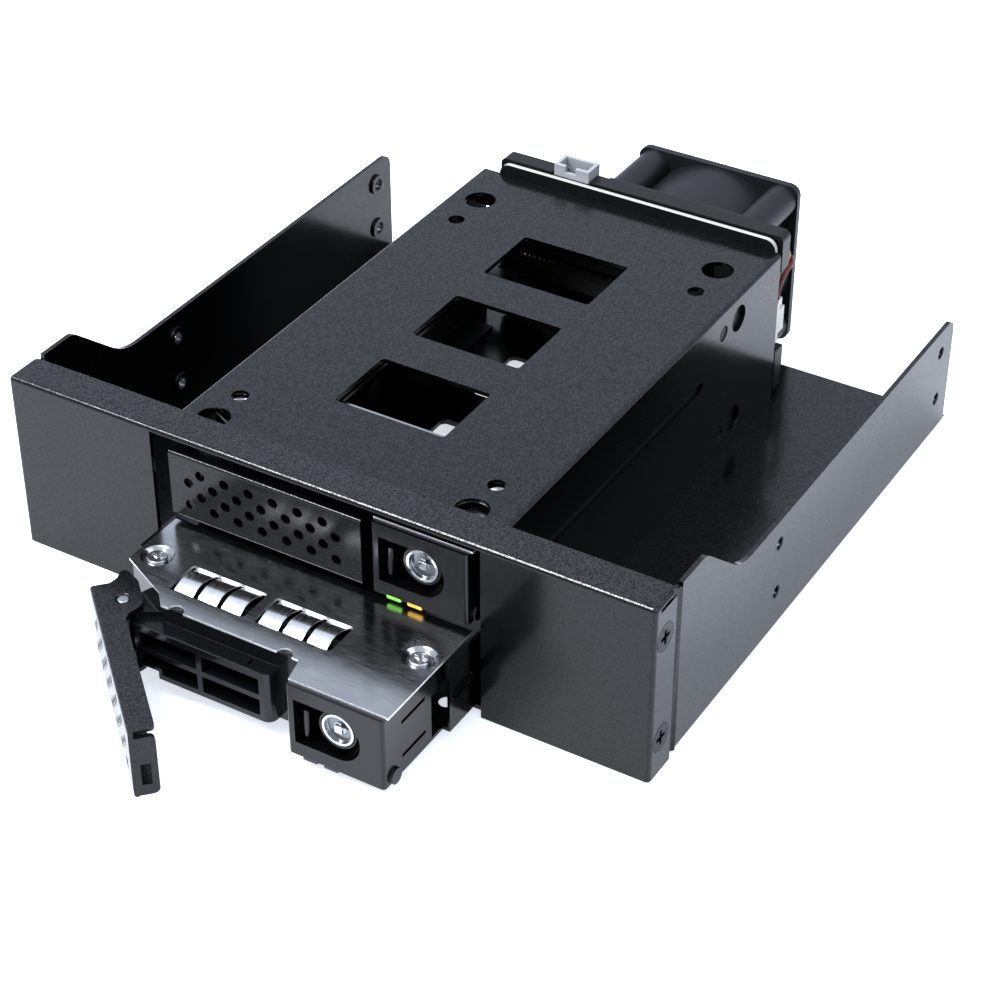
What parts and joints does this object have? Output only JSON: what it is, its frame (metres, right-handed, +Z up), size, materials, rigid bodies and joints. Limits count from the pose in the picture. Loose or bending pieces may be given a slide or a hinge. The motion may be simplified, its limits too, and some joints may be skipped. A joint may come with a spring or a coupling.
{
  "type": "hot swap drive cage",
  "caption": "Sheet steel drive bay cage with slide-out drive trays behind a wide front panel, swing levers with perforated faces, press latches, key locks, a backplane and a rear fan.",
  "frame": {"origin": "centre of the four bottom mounting holes, on the plane of their lower rims, which is also the plane that the bracket stands on", "axes": "+X to the right seen from the front, +Y from the front panel to the fan, +Z up"},
  "size_m": [0.146, 0.2039, 0.0448],
  "materials": {
    "black_steel": "fine textured black powder coat",
    "screw_steel": "bright zinc",
    "guide_plastic": "matt moulded",
    "circuit_board": "bare board edge, satin",
    "socket_plastic": "matt moulded",
    "black_plastic": "satin moulded",
    "grey_plastic": "satin moulded",
    "capacitor_can": "satin can",
    "white_plastic": "satin moulded",
    "black_insulation": "soft satin",
    "yellow_insulation": "soft satin",
    "red_insulation": "soft satin",
    "fan_plastic": "satin moulded",
    "front_plastic": "smooth semi gloss black",
    "satin_steel": "satin stainless sheet",
    "spring_chrome": "bright spring steel",
    "green_lens": "clear moulded, lit green on the upper tray",
    "amber_lens": "clear moulded, lit amber on the upper tray",
    "latch_plastic": "smooth semi gloss black",
    "key_chrome": "bright plated"
  },
  "bodies": {
    "housing": {"mounting_bracket": "black_steel", "front_panel": "black_steel", "panel_screws": "screw_steel", "cage_cover": "black_steel", "left_guide_rail": "guide_plastic", "right_guide_rail": "guide_plastic", "backplane_board": "circuit_board", "board_screws": "screw_steel", "lower_drive_socket": "socket_plastic", "upper_drive_socket": "socket_plastic", "rear_frame": "black_plastic", "first_data_socket": "socket_plastic", "second_data_socket": "socket_plastic", "power_socket": "socket_plastic", "top_header": "grey_plastic", "capacitors": "capacitor_can", "fan_header": "white_plastic", "fan_plug": "white_plastic", "black_fan_wire": "black_insulation", "yellow_fan_wire": "yellow_insulation", "red_fan_wire": "red_insulation", "fan_frame": "fan_plastic", "fan_screws": "screw_steel"},
    "fan_rotor": {"fan_rotor": "fan_plastic"},
    "lower_tray": {"lower_tray_frame": "black_steel", "lower_tray_screws": "screw_steel", "lower_front_moulding": "front_plastic", "lower_cover_plate": "satin_steel", "lower_cover_screws": "screw_steel", "lower_shield_fingers": "spring_chrome", "lower_lock_housing": "front_plastic", "lower_latch_spring": "spring_chrome", "lower_green_light_pipe": "green_lens", "lower_amber_light_pipe": "amber_lens", "lower_lever_pin": "screw_steel"},
    "lower_lever": {"lower_lever": "black_steel"},
    "lower_release_latch": {"lower_release_latch": "latch_plastic"},
    "lower_key_cylinder": {"lower_key_cylinder": "key_chrome"},
    "upper_tray": {"upper_tray_frame": "black_steel", "upper_tray_screws": "screw_steel", "upper_front_moulding": "front_plastic", "upper_cover_plate": "satin_steel", "upper_cover_screws": "screw_steel", "upper_shield_fingers": "spring_chrome", "upper_lock_housing": "front_plastic", "upper_latch_spring": "spring_chrome", "upper_green_light_pipe": "green_lens", "upper_amber_light_pipe": "amber_lens", "upper_lever_pin": "screw_steel"},
    "upper_lever": {"upper_lever": "black_steel"},
    "upper_release_latch": {"upper_release_latch": "latch_plastic"},
    "upper_key_cylinder": {"upper_key_cylinder": "key_chrome"}
  },
  "joints": [
    {"name": "fan_spin", "type": "hinge", "parent": "housing", "child": "fan_rotor", "pos_m": [0.01, 0.04738, 0.022], "axis": [0, 1, 0], "continuous": true},
    {"name": "lower_tray_slide", "type": "slide", "parent": "housing", "child": "lower_tray", "axis": [0, -1, 0], "range_m": [-0.0292, 0.0908]},
    {"name": "lower_lever_swing", "type": "hinge", "parent": "lower_tray", "child": "lower_lever", "pos_m": [-0.0289, -0.11453, 0.0101], "axis": [0, 0, -1], "range_deg": [-43, 5]},
    {"name": "lower_latch_press", "type": "slide", "parent": "lower_tray", "child": "lower_release_latch", "axis": [1, 0, 0], "range_m": [0, 0.0015], "stiffness_N_per_m": 200, "springref_m": -0.0005, "deforming": ["lower_latch_spring"]},
    {"name": "lower_key_turn", "type": "hinge", "parent": "lower_tray", "child": "lower_key_cylinder", "pos_m": [0.0239, -0.11432, 0.0125], "axis": [0, 1, 0], "range_deg": [0, 90]},
    {"name": "upper_tray_slide", "type": "slide", "parent": "housing", "child": "upper_tray", "axis": [0, -1, 0], "range_m": [0, 0.12]},
    {"name": "upper_lever_swing", "type": "hinge", "parent": "upper_tray", "child": "upper_lever", "pos_m": [-0.0289, -0.08532, 0.0284], "axis": [0, 0, -1], "range_deg": [0, 48]},
    {"name": "upper_latch_press", "type": "slide", "parent": "upper_tray", "child": "upper_release_latch", "axis": [1, 0, 0], "range_m": [0, 0.0015], "stiffness_N_per_m": 200, "springref_m": -0.0005, "deforming": ["upper_latch_spring"]},
    {"name": "upper_key_turn", "type": "hinge", "parent": "upper_tray", "child": "upper_key_cylinder", "pos_m": [0.0239, -0.08513, 0.0308], "axis": [0, 1, 0], "range_deg": [0, 90]}
  ]
}
